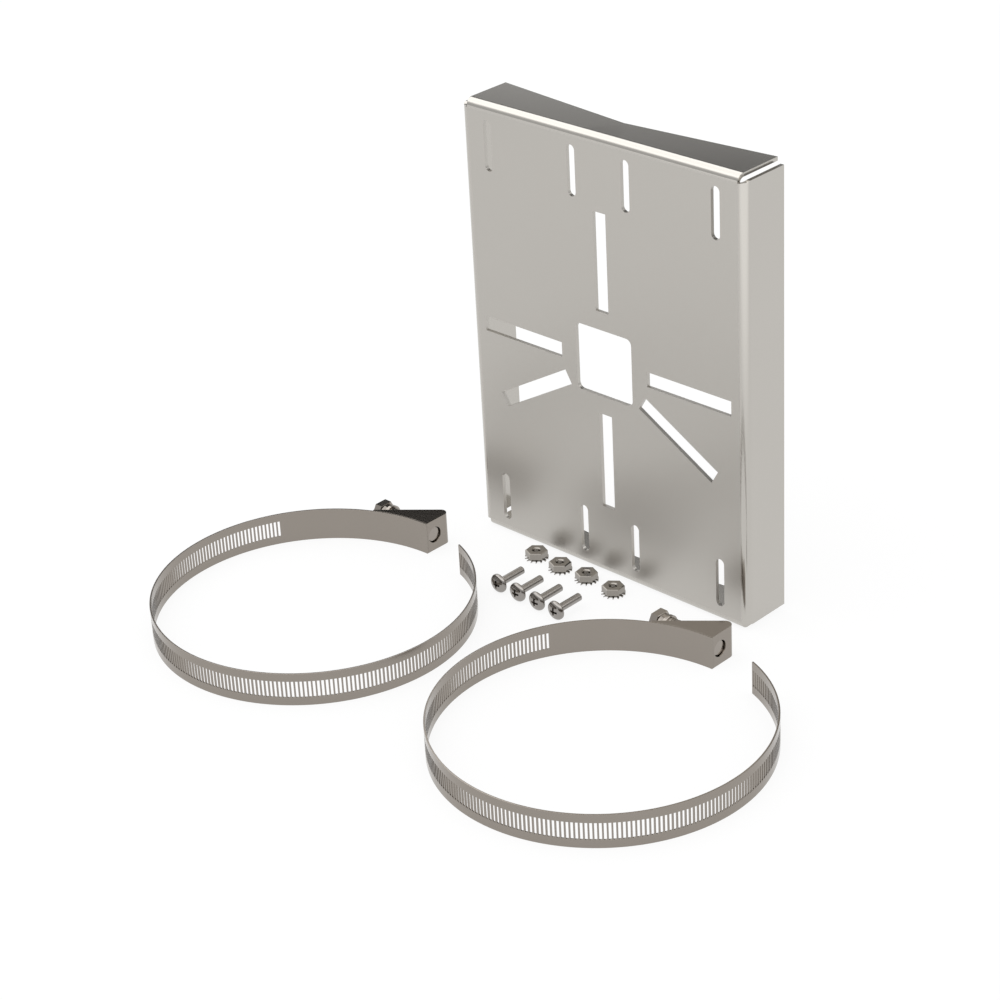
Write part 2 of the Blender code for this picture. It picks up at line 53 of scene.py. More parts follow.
# Every size below is in millimetres, and meshes are made in metres. Points that are closer
# than the merge distance count as one
mm = 0.001
mergeDistance = 1e-4
jointPlaces = {joint["name"]: np.array(joint["pos_m"]) for joint in frame["joints"]}


# Mesh helpers

# A mesh from an array of points and arrays of polygons, one array for each corner count
def makeMesh(name, points, polygonSets):
    counts = np.concatenate([np.full(len(polygons), polygons.shape[1]) for polygons in polygonSets])
    corners = np.concatenate([polygons.ravel() for polygons in polygonSets])
    starts = np.concatenate(([0], np.cumsum(counts)[:-1]))
    mesh = bpy.data.meshes.new(name)
    mesh.vertices.add(len(points))
    mesh.vertices.foreach_set("co", np.ascontiguousarray(points, np.float32).ravel())
    mesh.loops.add(len(corners))
    mesh.loops.foreach_set("vertex_index", corners.astype(np.int32))
    mesh.polygons.add(len(counts))
    mesh.polygons.foreach_set("loop_start", starts.astype(np.int32))
    mesh.update(calc_edges=True)
    mesh.validate()
    return mesh


# Where each point lies on its strip of metal: along the grain, across it
def addStrip(mesh, along, across):
    strip = mesh.attributes.new("strip", "FLOAT_VECTOR", "POINT")
    values = np.stack((along, across, np.zeros_like(along)), axis=-1)
    strip.data.foreach_set("vector", values.astype(np.float32).ravel())


# Smooth shading, with creases where faces turn by more than the angle
def smoothMesh(mesh, degrees):
    mesh.shade_smooth()
    mesh.set_sharp_from_angle(angle=math.radians(degrees))


# Points turned and moved by a matrix
def placed(points, matrix):
    table = np.array(matrix)
    return points @ table[:3, :3].T + table[:3, 3]


# The angles of a turned body's columns
def roundAngles(columns):
    return 2 * np.pi * np.arange(columns) / columns


# Flat points turned about zero, by an angle in degrees
def spun(points, degrees):
    angle = math.radians(degrees)
    return points @ np.array([(math.cos(angle), math.sin(angle)),
                              (-math.sin(angle), math.cos(angle))])


# Rows of points joined into quads. A surface that is closed round its columns joins the
# last column to the first, and one that is closed round its rows joins the last row too
def gridQuads(rows, columns, closedRows=False):
    index = np.arange(rows * columns).reshape(rows, columns)
    ahead = np.roll(index, -1, axis=1)
    upper = np.roll(index, -1, axis=0)
    upperAhead = np.roll(ahead, -1, axis=0)
    last = rows if closedRows else rows - 1
    quads = np.stack((index, ahead, upperAhead, upper), axis=-1)[:last]
    return quads.reshape(-1, 4)


# A body turned about Z: a point is radius times the cosine and sine of its angle, at its
# height. A ring closes on itself, and any other body is closed by its end rows
def turnedMesh(name, radii, heights, matrix, ring=False):
    rows, columns = radii.shape
    angles = roundAngles(columns)
    points = np.stack((radii * np.cos(angles), radii * np.sin(angles), heights), axis=-1)
    sets = [gridQuads(rows, columns, closedRows=ring)]
    if not ring:
        index = np.arange(rows * columns).reshape(rows, columns)
        sets.append(np.stack((index[0][::-1], index[-1])))
    mesh = makeMesh(name, placed(points.reshape(-1, 3) * mm, matrix), sets)
    along = np.broadcast_to(angles, radii.shape) * radii.mean()
    addStrip(mesh, along.ravel() * mm, heights.ravel() * mm)
    return mesh


# How deep a thread is cut: the height over the pitch less the angle over a full turn is a
# triangle wave, with a flat crest and a flat root of the same share
def threadDepth(heights, angles, pitch, flat):
    phase = (heights / pitch - angles / (2 * np.pi)) % 1
    wave = 1 - np.abs(2 * phase - 1)
    return np.clip((wave - flat) / (1 - 2 * flat), 0, 1)


# A hexagon's radius at an angle: half its flats over the cosine of the angle off the flat
def hexRadius(angles, flats):
    return flats / 2 / np.cos(angles % (np.pi / 3) - np.pi / 6)


# Points of an arc, with angles in degrees
def arcPoints(centre, radius, start, end, steps):
    angles = np.radians(np.linspace(start, end, steps + 1))
    return np.stack((centre[0] + radius * np.cos(angles), centre[1] + radius * np.sin(angles)), -1)


# A closed prism between two outlines with as many points. It stands on its outline's plane,
# or lies along X with the outline across it
def prismMesh(name, low, high, start, end, lengthwise=False):
    count = len(low)
    base = np.column_stack((low, np.full(count, start)))
    top = np.column_stack((high, np.full(count, end)))
    points = np.vstack((base, top))
    if lengthwise:
        points = points[:, [2, 0, 1]]
    here = np.arange(count)
    ahead = np.roll(here, -1)
    sides = np.stack((here, ahead, ahead + count, here + count), axis=-1)
    caps = np.stack((here[::-1], here + count))
    mesh = makeMesh(name, points * mm, [sides, caps])
    fixed = bmesh.new()
    fixed.from_mesh(mesh)
    bmesh.ops.recalc_face_normals(fixed, faces=fixed.faces)
    fixed.to_mesh(mesh)
    fixed.free()
    return mesh


# An object of its own in the scene, at the origin
def looseObject(name, mesh):
    obj = bpy.data.objects.new(name, mesh)
    bpy.context.scene.collection.objects.link(obj)
    return obj


# The mesh less the cutters' meshes
def cutMesh(mesh, cutters):
    body = looseObject("cutBody", mesh)
    tools = [looseObject("cutTool", cutter) for cutter in cutters]
    for tool in tools:
        cut = body.modifiers.new("cut", "BOOLEAN")
        cut.operation = "DIFFERENCE"
        cut.solver = "EXACT"
        cut.object = tool
    graph = bpy.context.evaluated_depsgraph_get()
    result = bpy.data.meshes.new_from_object(body.evaluated_get(graph))
    for obj in [body] + tools:
        bpy.data.objects.remove(obj, do_unlink=True)
    return result


# A finished piece: it stands for its CAD node, on that node's body
def addPiece(name, mesh, material, node, body):
    mesh.name = name
    mesh.materials.clear()
    mesh.materials.append(material)
    piece = looseObject(name, mesh)
    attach(piece, body)
    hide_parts(node)
    return piece


# Edges that turn by more than this, in degrees, are rounded
edgeAngle = 40


# Rounded edges, then normals that keep broad flats flat
def easeEdges(piece, width, segments):
    bevel = piece.modifiers.new("edges", "BEVEL")
    bevel.width = width * mm
    bevel.segments = segments
    bevel.limit_method = "ANGLE"
    bevel.angle_limit = math.radians(edgeAngle)
    bevel.miter_outer = "MITER_ARC"
    normals = piece.modifiers.new("normals", "WEIGHTED_NORMAL")
    normals.mode = "FACE_AREA"
    normals.weight = 50


# Materials

# Sets each input of a node to a value, or links it to another node's output
def feed(tree, node, inputs):
    for socket, value in inputs.items():
        if isinstance(value, bpy.types.NodeSocket):
            tree.links.new(value, node.inputs[socket])
        else:
            node.inputs[socket].default_value = value


# Two values taken together, as their difference, product or larger one
def reckoned(tree, operation, first, second):
    node = tree.nodes.new("ShaderNodeMath")
    node.operation = operation
    feed(tree, node, {0: first, 1: second})
    return node.outputs["Value"]


# A vector alone or taken with another. A dot product is a value, and the rest are vectors
def reckonedVector(tree, operation, first, second=(0, 0, 0)):
    node = tree.nodes.new("ShaderNodeVectorMath")
    node.operation = operation
    feed(tree, node, {0: first, 1: second})
    return node.outputs["Value" if operation == "DOT_PRODUCT" else "Vector"]


# A span of values carried over to another span, and held at its ends
def spread(tree, value, before, after, course="LINEAR"):
    node = tree.nodes.new("ShaderNodeMapRange")
    node.interpolation_type = course
    feed(tree, node, {"Value": value, "From Min": before[0], "From Max": before[1],
                      "To Min": after[0], "To Max": after[1]})
    return node.outputs["Result"]


# A value that passes from the first to the second as the share goes from zero to one
def blended(tree, share, first, second):
    node = tree.nodes.new("ShaderNodeMix")
    feed(tree, node, {"Factor": share, "A": first, "B": second})
    return node.outputs["Result"]


# Steel: a colour with slow clouds in it, and a fine grain that moves the gloss and the
# height. The grain lies along the longest of its lengths
def makeSteel(name, look):
    material = bpy.data.materials.new(name)
    material.use_nodes = True
    tree = material.node_tree
    shader = tree.nodes["Principled BSDF"]
    shader.inputs["Metallic"].default_value = 1.0
    if look["strip"]:
        source = tree.nodes.new("ShaderNodeAttribute")
        source.attribute_name = "strip"
        place = source.outputs["Vector"]
    else:
        place = tree.nodes.new("ShaderNodeTexCoord").outputs["Object"]

    def noise(lengths, detail):
        stretch = tree.nodes.new("ShaderNodeMapping")
        feed(tree, stretch, {"Vector": place, "Scale": [1 / (length * mm) for length in lengths]})
        texture = tree.nodes.new("ShaderNodeTexNoise")
        feed(tree, texture, {"Vector": stretch.outputs["Vector"], "Scale": 1.0, "Detail": detail})
        return texture.outputs["Fac"]

    grain = noise(look["grain"], grainDetail)
    relief = tree.nodes.new("ShaderNodeBump")
    feed(tree, relief, {"Strength": look["relief"], "Distance": grainHeight * mm, "Height": grain})
    dark = [channel * (1 - look["clouds"]) for channel in look["colour"]]
    light = [channel * (1 + look["clouds"]) for channel in look["colour"]]
    tint = tree.nodes.new("ShaderNodeMix")
    tint.data_type = "RGBA"
    feed(tree, tint, {"Factor": noise((look["cloudSize"],) * 3, cloudDetail),
                      "A": (*dark, 1.0), "B": (*light, 1.0)})
    feed(tree, shader, {"Base Color": tint.outputs["Result"], "Normal": relief.outputs["Normal"],
                        "Roughness": spread(tree, grain, (0, 1), look["roughness"])})
    return material


# How high the grain stands where its relief is one, and how finely grain and clouds divide
grainHeight = 0.05
grainDetail, cloudDetail = 3.0, 2.0

steelLooks = {
    "plate": {"colour": (0.502, 0.482, 0.449), "roughness": (0.37, 0.40), "grain": (1.0, 1.0, 9.0),
              "relief": 0.012, "clouds": 0.015, "cloudSize": 60, "strip": False},
    "band": {"colour": (0.294, 0.265, 0.235), "roughness": (0.15, 0.19), "grain": (14.0, 0.5, 1.0),
             "relief": 0.012, "clouds": 0.02, "cloudSize": 20, "strip": True},
    "housing": {"colour": (0.290, 0.261, 0.231), "roughness": (0.09, 0.12), "grain": (6.0, 0.6, 0.6),
                "relief": 0.004, "clouds": 0.03, "cloudSize": 12, "strip": False},
    "worm": {"colour": (0.330, 0.300, 0.270), "roughness": (0.10, 0.14), "grain": (5.0, 0.3, 1.0),
             "relief": 0.005, "clouds": 0.03, "cloudSize": 6, "strip": True},
    "screw": {"colour": (0.310, 0.292, 0.275), "roughness": (0.12, 0.16), "grain": (0.35, 6.0, 0.35),
              "relief": 0.04, "clouds": 0.03, "cloudSize": 5, "strip": False},
    "nut": {"colour": (0.285, 0.265, 0.240), "roughness": (0.13, 0.18), "grain": (1.2, 0.8, 0.8),
            "relief": 0.02, "clouds": 0.04, "cloudSize": 4, "strip": False},
    "washer": {"colour": (0.300, 0.280, 0.255), "roughness": (0.16, 0.22), "grain": (1.2, 0.8, 0.8),
               "relief": 0.03, "clouds": 0.04, "cloudSize": 3, "strip": False},
}
steels = {name: makeSteel(name + "Steel", look) for name, look in steelLooks.items()}
print("stage: materials made")


# Folded plate

plateSizes = {
    "sheet": 1.9, "bendInner": 1.9, "bendSteps": 10, "veeDepth": 8.1, "relief": 0.2,
    "cornerGap": 1.5, "sideFlangeDrop": 2.9, "strapSlotWidth": 4.8, "strapSlotLength": 24.7,
    "strapSlotPlaces": (-66.9, -15.9, 15.9, 66.9), "strapSlotMargin": 20.3,
    "radialSlotWidth": 7.5, "radialSlotStart": 25.9, "radialSlotEnd": 74.5,
    "radialSlotAngles": (0, 90, 180, 210, 270, 330), "cableHoleSide": 33.6,
    "cableHoleRadius": 3.0, "arcSteps": 16, "edge": 0.1, "edgeSteps": 2,
    "foldShare": 0.42, "foldBlend": 0.5,
}
plateLow, plateHigh = (np.array(corner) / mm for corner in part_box("bracket_plate"))
plateBend = plateSizes["bendInner"] + plateSizes["sheet"]


# The flat blank's outline, counter-clockwise: one quarter from the right flange's rim to
# the top flange's, mirrored into the other three
def blankOutline(size, halfWidth, halfHeight, flangeDepth, radius):
    bendLength = radius * np.pi / 2
    flatAcross = halfWidth - radius
    flatUp = halfHeight - radius
    bendAcross = flatAcross - size["relief"]
    bendUp = flatUp - size["relief"]
    rimAcross = flatAcross + bendLength + flangeDepth - radius
    rimUp = flatUp + bendLength + flangeDepth - radius
    flangeAcross = halfWidth - size["sheet"] - size["cornerGap"]
    flangeUp = halfHeight - size["sideFlangeDrop"]
    quarter = np.array([(rimAcross, flangeUp), (flatAcross + bendLength, flangeUp),
                        (flatAcross, bendUp), (bendAcross, bendUp), (bendAcross, flatUp),
                        (flangeAcross, flatUp + bendLength), (flangeAcross, rimUp)])
    vee = np.array([(0, rimUp - size["veeDepth"])])
    left = quarter[::-1] * (-1, 1)
    return np.vstack((quarter, vee, left, -quarter, -vee, -left))


# The openings of the blank: a strap slot is two half circles joined, a radial slot is a bar
# turned about the middle, and the cable hole is four quarter circles joined
def plateOpenings(size, halfHeight):
    width = size["strapSlotWidth"] / 2
    rise = size["strapSlotLength"] / 2 - width
    steps = size["arcSteps"]
    slot = np.vstack((arcPoints((0, rise), width, 0, 180, steps),
                      arcPoints((0, -rise), width, 180, 360, steps)))
    openings = []
    for height in (-1, 1):
        for place in size["strapSlotPlaces"]:
            openings.append(slot + (place, height * (halfHeight - size["strapSlotMargin"])))
    start, end, half = size["radialSlotStart"], size["radialSlotEnd"], size["radialSlotWidth"] / 2
    bar = np.array([(start, -half), (end, -half), (end, half), (start, half)])
    openings += [spun(bar, angle) for angle in size["radialSlotAngles"]]
    radius = size["cableHoleRadius"]
    reach = size["cableHoleSide"] / 2 - radius
    corners = [arcPoints((reach * x, reach * y), radius, first, first + 90, steps // 2)
               for x, y, first in ((1, 1, 0), (-1, 1, 90), (-1, -1, 180), (1, -1, 270))]
    openings.append(np.vstack(corners))
    return openings


# How far a strip of the blank goes out and back when it is bent: past the flat it rolls by
# its overshoot over the bend's radius, and past a quarter turn it runs straight back. A
# point that is further past the other flat belongs to that bend and stays as it is here
def folded(place, flat, other, otherFlat, radius):
    over = np.abs(place) - flat
    bends = over > np.maximum(np.abs(other) - otherFlat, 0)
    over = np.where(bends, over, 0)
    angle = np.minimum(over / radius, np.pi / 2)
    straight = np.maximum(over - radius * np.pi / 2, 0)
    rolled = np.sign(place) * (flat + radius * np.sin(angle))
    out = np.where(bends, rolled, place)
    back = radius * (1 - np.cos(angle)) + straight
    return out, back


# The blank with its openings, cut along the bends and then folded
def plateMesh(size, low, high, radius):
    halfWidth = (high[0] - low[0]) / 2
    halfHeight = (high[2] - low[2]) / 2
    flatAcross, flatUp = halfWidth - radius, halfHeight - radius
    loops = [blankOutline(size, halfWidth, halfHeight, high[1] - low[1], radius)]
    loops += plateOpenings(size, halfHeight)
    points = np.vstack(loops)
    starts = np.concatenate(([0], np.cumsum([len(loop) for loop in loops])))
    edges = [np.stack((np.arange(first, last), np.roll(np.arange(first, last), -1)), axis=-1)
             for first, last in zip(starts, starts[1:])]
    wire = bpy.data.meshes.new("blankWire")
    wire.from_pydata(np.column_stack((points, np.zeros(len(points)))), np.vstack(edges), [])
    blank = bmesh.new()
    blank.from_mesh(wire)
    bmesh.ops.triangle_fill(blank, use_beauty=True, edges=blank.edges)
    lengths = radius * np.pi / 2 * np.arange(size["bendSteps"] + 1) / size["bendSteps"]
    for axis, flat in enumerate((flatAcross, flatUp)):
        for side in (-1, 1):
            across = np.zeros(3)
            across[axis] = side
            for station in flat + lengths:
                everything = blank.verts[:] + blank.edges[:] + blank.faces[:]
                bmesh.ops.bisect_plane(blank, geom=everything, dist=mergeDistance,
                                       plane_co=across * station, plane_no=across)
    bmesh.ops.recalc_face_normals(blank, faces=blank.faces)
    if sum(face.normal.z for face in blank.faces) < 0:
        bmesh.ops.reverse_faces(blank, faces=blank.faces)
    mesh = bpy.data.meshes.new("plate")
    blank.to_mesh(mesh)
    blank.free()
    flatPoints = np.empty(len(mesh.vertices) * 3, np.float32)
    mesh.vertices.foreach_get("co", flatPoints)
    flatPoints = flatPoints.reshape(-1, 3)
    sideways, upright = flatPoints[:, 0], flatPoints[:, 1]
    across, backAcross = folded(sideways, flatAcross, upright, flatUp, radius)
    up, backUp = folded(upright, flatUp, sideways, flatAcross, radius)
    shaped = np.stack((across, low[1] + backAcross + backUp, low[2] + halfHeight + up), axis=-1)
    mesh.vertices.foreach_set("co", (shaped * mm).astype(np.float32).ravel())
    mesh.update()
    mesh.shade_smooth()
    return mesh


# Past its folds the plate is smoother. The distance from its middle less that of the fold
# is above zero there, and the roughness is a share of the face's
def smoothFlanges(material, size, low, high, radius):
    tree = material.node_tree
    roughness = tree.nodes["Principled BSDF"].inputs["Roughness"]
    place = tree.nodes.new("ShaderNodeTexCoord").outputs["Object"]
    offset = reckonedVector(tree, "SUBTRACT", place, (low + high) / 2 * mm)
    parts = tree.nodes.new("ShaderNodeSeparateXYZ")
    tree.links.new(reckonedVector(tree, "ABSOLUTE", offset), parts.inputs["Vector"])
    folds = ((high - low) / 2 - radius) * mm
    past = [reckoned(tree, "SUBTRACT", parts.outputs[axis], folds["XYZ".index(axis)])
            for axis in ("X", "Z")]
    blend = size["foldBlend"] * mm
    share = spread(tree, reckoned(tree, "MAXIMUM", *past), (-blend, blend), (1, size["foldShare"]))
    rough = reckoned(tree, "MULTIPLY", roughness.links[0].from_socket, share)
    tree.links.new(rough, roughness)


smoothFlanges(steels["plate"], plateSizes, plateLow, plateHigh, plateBend)
plate = addPiece("bracketPlate", plateMesh(plateSizes, plateLow, plateHigh, plateBend),
                 steels["plate"], "bracket_plate", "bracket_kit")
sheet = plate.modifiers.new("sheet", "SOLIDIFY")
sheet.thickness = plateSizes["sheet"] * mm
sheet.offset = -1
sheet.use_even_offset = True
easeEdges(plate, plateSizes["edge"], plateSizes["edgeSteps"])
print("stage: plate made")


# Band clamps

clampSizes = {
    "radius": 75.7, "sheet": 0.75, "width": 16.2, "slotLength": 8.2, "slotWidth": 1.15,
    "slotPitch": 1.93, "slotsFrom": 58.6, "arc": 339.6, "slotGroup": 3, "plainSteps": 72,
    "edge": 0.03, "edgeSteps": 1,
    "housingWall": 0.9, "housingReach": 31.5, "housingHeight": 15.3, "housingCorner": 3.0,
    "housingEnd": -1.2, "seatGap": 0.05, "runningGap": 0.3, "arcSteps": 24, "boreSteps": 64,
    "housingEdge": 0.3, "housingEdgeSteps": 3,
    "wormTip": -1.5, "tipRecess": 0.7, "pilotRadius": 3.75, "pilotLength": 2.5,
    "wormRadius": 4.7, "wormRoot": 3.9, "wormLength": 28.8, "wormChamfer": 0.5,
    "shoulderRadius": 5.6, "shoulderLength": 1.8, "neckRadius": 4.4, "neckRootRadius": 5.2,
    "neckLength": 2.3, "headFlats": 11.3, "headLength": 4.3, "headBevel": 0.2, "wormTurn": 30,
    "threadSteps": 12, "threadFlat": 0.12, "columns": 72, "smooth": 35,
}


# The angle round the ring at which its fixed end and the housing's end wall stand
def endAngle(size, radius):
    return 90 + math.degrees(math.asin(-size["housingEnd"] / radius))


# The slotted strap rolled into an open ring: the angle gives the place round it. A table
# says which cells of its grid hold metal, and a wall closes each cell that meets an opening
def bandMesh(size, centre):
    startsAt = endAngle(size, size["radius"])
    pitch = math.degrees(size["slotPitch"] / size["radius"])
    opening = math.degrees(size["slotWidth"] / size["radius"])
    slots = int((size["arc"] - size["slotsFrom"]) / pitch)
    slots -= slots % size["slotGroup"]
    slottedFrom = startsAt + size["arc"] - slots * pitch
    plain = np.linspace(startsAt, slottedFrom, size["plainSteps"], endpoint=False)
    slotted = slottedFrom + pitch * np.arange(slots)
    pairs = np.stack((slotted, slotted + opening), axis=-1).ravel()
    angles = np.radians(np.concatenate((plain, pairs, [slottedFrom + slots * pitch])))
    margin = (size["width"] - size["slotLength"]) / 2
    heights = np.array([0, margin, size["width"] - margin, size["width"]])
    columns, rows = len(angles), len(heights)
    radii = np.array([size["radius"] - size["sheet"], size["radius"]])
    turn, rise = np.meshgrid(angles, heights, indexing="ij")
    points = np.stack([np.stack((radius * np.cos(turn), radius * np.sin(turn), rise), axis=-1)
                       for radius in radii])
    index = np.arange(points.size // 3).reshape(2, columns, rows)
    metal = np.ones((columns - 1, rows - 1), bool)
    metal[len(plain):-1:2, 1] = False
    metal[len(plain) + 2 * slots - 1:, 1] = True
    inner, outer = index
    cells = np.stack((outer[:-1, :-1], outer[1:, :-1], outer[1:, 1:], outer[:-1, 1:]), axis=-1)
    hidden = np.stack((inner[:-1, :-1], inner[:-1, 1:], inner[1:, 1:], inner[1:, :-1]), axis=-1)
    framed = np.pad(metal, 1)
    byColumn = framed[1:, 1:-1].astype(int) - framed[:-1, 1:-1]
    column, row = np.nonzero(byColumn)
    walls = np.stack((outer[column, row], outer[column, row + 1],
                      inner[column, row + 1], inner[column, row]), axis=-1)
    walls[byColumn[column, row] < 0] = walls[byColumn[column, row] < 0][:, ::-1]
    byRow = framed[1:-1, 1:].astype(int) - framed[1:-1, :-1]
    column, row = np.nonzero(byRow)
    ledges = np.stack((outer[column + 1, row], outer[column, row],
                       inner[column, row], inner[column + 1, row]), axis=-1)
    ledges[byRow[column, row] < 0] = ledges[byRow[column, row] < 0][:, ::-1]
    quads = np.vstack((cells[metal], hidden[metal], walls, ledges))
    flat = points.reshape(-1, 3) + (centre[0], centre[1], 0)
    mesh = makeMesh("band", flat * mm, [quads])
    along = np.broadcast_to(turn * size["radius"], (2, columns, rows))
    across = np.broadcast_to(rise, (2, columns, rows))
    addStrip(mesh, along.ravel() * mm, across.ravel() * mm)
    mesh.shade_smooth()
    return mesh


# The pressed cover over the worm: two wedge cheeks, a sloping back that the worm leaves by,
# and an end wall with the pilot's bore
def housingMesh(size, centre):
    wall, steps = size["housingWall"], size["arcSteps"]
    foot = size["radius"] + size["seatGap"]
    tailAngle = 90 + math.degrees(math.asin(size["housingReach"] / foot))
    tail = arcPoints((0, 0), foot + wall, tailAngle, tailAngle, 1)[0]
    corner = np.array([size["housingEnd"] - size["housingCorner"],
                       size["radius"] + size["housingHeight"] - size["housingCorner"]])
    run = corner - tail
    slope = math.atan2(run[1], run[0]) + math.asin(size["housingCorner"] / np.hypot(*run))
    crest = 90 + math.degrees(slope)
    outline = np.vstack((arcPoints((0, 0), foot, endAngle(size, foot), tailAngle, steps), [tail],
                         arcPoints(corner, size["housingCorner"], crest, 0, steps)))
    cover = prismMesh("cover", outline, outline, 0, size["width"])
    inside = arcPoints(corner, size["housingCorner"] - wall, 0, crest, steps)
    floor = foot - size["housingReach"]
    drop = (inside[-1][1] - floor) / math.sin(slope)
    low = (inside[-1][0] - drop * math.cos(slope), floor)
    cavity = np.vstack(([(size["housingEnd"] - wall, floor)], inside, [low]))
    hollow = prismMesh("hollow", cavity, cavity, wall, size["width"] - wall)
    axisRise = size["width"] / 2
    axis = (size["radius"] + size["wormRadius"] + size["runningGap"], axisRise)

    def clearing(name, radius, start, end):
        ring = arcPoints(axis, radius + size["runningGap"], 0, 360, size["boreSteps"])[:-1]
        return prismMesh(name, ring, ring, start, end, lengthwise=True)

    way = clearing("way", size["wormRadius"], -size["housingReach"], corner[0])
    end = size["housingEnd"]
    bore = clearing("bore", size["pilotRadius"], end - 2 * wall, end + wall)
    mesh = cutMesh(cover, [hollow, way, bore])
    mesh.transform(Matrix.Translation((centre[0] * mm, centre[1] * mm, 0)))
    mesh.shade_smooth()
    return mesh


# The worm screw from its tip: a pilot, a threaded barrel, a shoulder, a neck that widens to
# the head, and a hexagon with narrow bevels at both ends
def wormMesh(size, matrix):
    angles = roundAngles(size["columns"])
    even = np.ones_like(angles)
    start, length, chamfer = size["pilotLength"], size["wormLength"], size["wormChamfer"]
    count = int((length - start) / size["slotPitch"] * size["threadSteps"])
    barrel = np.linspace(start, length, count)[:, None]
    depth = threadDepth(barrel, angles, size["slotPitch"], size["threadFlat"])
    runOut = np.clip((length - barrel) / size["slotPitch"], 0, 1)
    crest = np.minimum(size["wormRadius"], size["wormRadius"] - chamfer + barrel - start)
    cut = size["wormRadius"] - (size["wormRadius"] - size["wormRoot"]) * depth * runOut
    shoulderEnd = length + size["shoulderLength"]
    neckEnd = shoulderEnd + size["neckLength"]
    headEnd = neckEnd + size["headLength"]
    bevel = size["headBevel"]
    hexagon = hexRadius(angles, size["headFlats"])
    inner = hexRadius(angles, size["headFlats"] - 2 * bevel)
    profile = np.array([
        (size["pilotRadius"] - bevel, size["tipRecess"]),
        (size["pilotRadius"], size["tipRecess"] + bevel), (size["pilotRadius"], start)])
    collar = np.array([
        (size["shoulderRadius"] - bevel, length), (size["shoulderRadius"], length + bevel),
        (size["shoulderRadius"], shoulderEnd - bevel), (size["shoulderRadius"] - bevel, shoulderEnd),
        (size["neckRadius"], shoulderEnd), (size["neckRootRadius"] - bevel, neckEnd - 2 * bevel),
        (size["neckRootRadius"], neckEnd)])
    head = (inner, hexagon, hexagon, inner)
    headHeights = (neckEnd, neckEnd + bevel, headEnd - bevel, headEnd)
    radii = np.vstack((profile[:, :1] * even, np.minimum(crest, cut), collar[:, :1] * even, head))
    heights = np.vstack((profile[:, 1:] * even, barrel * even, collar[:, 1:] * even,
                         np.array(headHeights)[:, None] * even))
    return turnedMesh("worm", radii, heights, matrix)


for number in (1, 2):
    tip = jointPlaces["clamp_%d_worm_turn" % number]
    wormOut = clampSizes["radius"] + clampSizes["wormRadius"] + clampSizes["runningGap"]
    centre = tip[:2] / mm - (clampSizes["wormTip"], wormOut)
    band = addPiece("clampBand%d" % number, bandMesh(clampSizes, centre), steels["band"],
                    "clamp_%d_band" % number, "bracket_kit")
    easeEdges(band, clampSizes["edge"], clampSizes["edgeSteps"])
    housing = addPiece("clampHousing%d" % number, housingMesh(clampSizes, centre), steels["housing"],
                       "clamp_%d_housing" % number, "bracket_kit")
    easeEdges(housing, clampSizes["housingEdge"], clampSizes["housingEdgeSteps"])
    wormTurn = Matrix.Rotation(math.radians(clampSizes["wormTurn"]), 4, "Z")
    lie = Matrix.Rotation(-math.pi / 2, 4, "Y") @ wormTurn
    worm = wormMesh(clampSizes, Matrix.Translation(tip) @ lie)
    smoothMesh(worm, clampSizes["smooth"])
    addPiece("wormScrew%d" % number, worm, steels["worm"],
             "clamp_%d_worm_screw" % number, "clamp_%d_worm" % number)
print("stage: clamps made")


# Machine screws

screwSizes = {
    "radius": 1.95, "root": 1.88, "pitch": 0.7, "length": 15.9, "tipChamfer": 0.5, "shank": 1.2,
    "headRadius": 4.7, "headRim": 0.4, "headHeight": 2.6, "recessSpan": 4.8, "recessWidth": 1.1,
    "recessDepth": 1.5, "recessTaper": 0.45, "recessOver": 0.5, "domeFrom": 88, "domeSteps": 15,
    "threadSteps": 8, "threadFlat": 0.1, "columns": 60, "smooth": 35,
    "places": ((-31.1, -55.35), (-18.4, -55.8), (-5.8, -56.15), (6.8, -56.85)),
}


# A pan-head screw along Z, from its domed head below the seat at zero to its tip. The dome
# is a quarter ellipse, and the thread stops at a plain shank under the head. The tool of
# the cross recess widens on past the head
def screwMesh(size):
    angles = roundAngles(size["columns"])
    even = np.ones_like(angles)
    dome = np.radians(np.linspace(size["domeFrom"], 0, size["domeSteps"] + 1))[:, None]
    domeHeight = size["headHeight"] - size["headRim"]
    count = int((size["length"] - size["shank"]) / size["pitch"] * size["threadSteps"])
    barrel = np.linspace(size["shank"], size["length"], count)[:, None]
    depth = threadDepth(barrel, angles, size["pitch"], size["threadFlat"])
    runOut = np.clip((barrel - size["shank"]) / size["pitch"], 0, 1)
    cut = size["radius"] - (size["radius"] - size["root"]) * depth * runOut
    tip = size["radius"] - size["tipChamfer"] + size["length"] - barrel
    radii = np.vstack((size["headRadius"] * np.cos(dome) * even,
                       [size["headRadius"] * even, size["radius"] * even],
                       np.minimum(cut, tip)))
    heights = np.vstack((-(size["headRim"] + domeHeight * np.sin(dome)) * even,
                         [0 * even, 0 * even], barrel * even))
    blank = turnedMesh("screw", radii, heights, Matrix.Identity(4))
    arm, half = size["recessSpan"] / 2, size["recessWidth"] / 2
    quarter = np.array([(arm, half), (half, half), (half, arm)])
    cross = np.vstack([spun(quarter, angle) for angle in (0, 90, 180, 270)])
    bottom = -size["headHeight"] + size["recessDepth"]
    rise = size["recessDepth"] + size["recessOver"]
    narrow = 1 - size["recessTaper"]
    wide = 1 + size["recessTaper"] * size["recessOver"] / size["recessDepth"]
    recess = prismMesh("recess", cross * wide, cross * narrow, bottom - rise, bottom)
    return cutMesh(blank, [recess])


